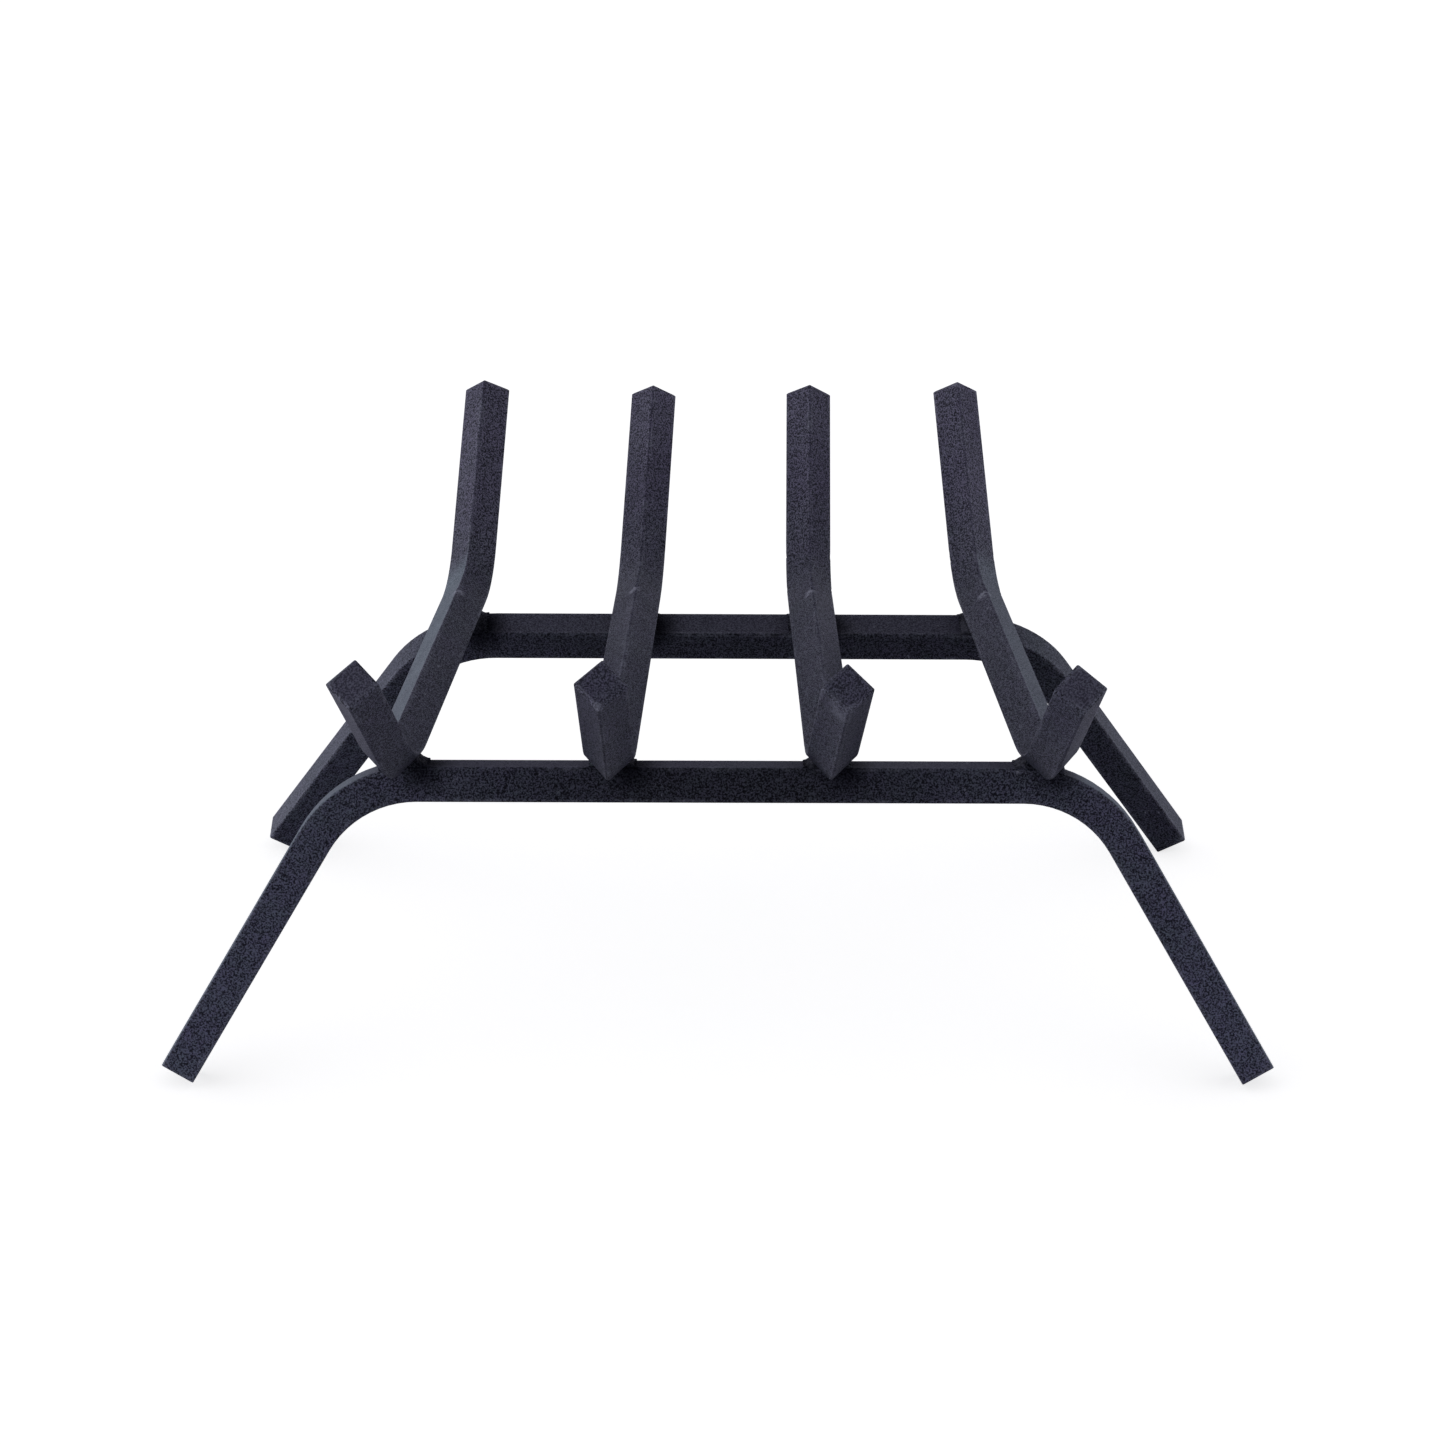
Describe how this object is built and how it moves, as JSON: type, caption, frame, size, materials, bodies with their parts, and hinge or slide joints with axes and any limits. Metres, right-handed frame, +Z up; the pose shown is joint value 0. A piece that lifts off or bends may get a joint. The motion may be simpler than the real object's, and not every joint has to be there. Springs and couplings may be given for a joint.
{
  "type": "fireplace log grate",
  "caption": "Open welded rack of bent square bar that cradles burning logs above a hearth, with splayed legs, upturned front tips and tall raked backs.",
  "frame": {"origin": "on the hearth, at the bottom centre of the bounding box", "axes": "+X along the rails, to the right of someone facing the fire; +Y from the front tips to the back of the fireplace; +Z up"},
  "size_m": [0.4922, 0.3439, 0.2317],
  "materials": {
    "bar_paint": "matt to satin blue-black heat-resistant paint over rolled steel bar",
    "weld_paint": "the same paint over rippled weld metal, a little darker"
  },
  "bodies": {
    "root": {"front_leg_frame": "bar_paint", "rear_leg_frame": "bar_paint", "log_bar_left_outer": "bar_paint", "log_bar_left_inner": "bar_paint", "log_bar_right_inner": "bar_paint", "log_bar_right_outer": "bar_paint", "front_weld_left_outer": "weld_paint", "front_weld_left_inner": "weld_paint", "front_weld_right_inner": "weld_paint", "front_weld_right_outer": "weld_paint", "rear_weld_left_outer": "weld_paint", "rear_weld_left_inner": "weld_paint", "rear_weld_right_inner": "weld_paint", "rear_weld_right_outer": "weld_paint"}
  },
  "joints": []
}
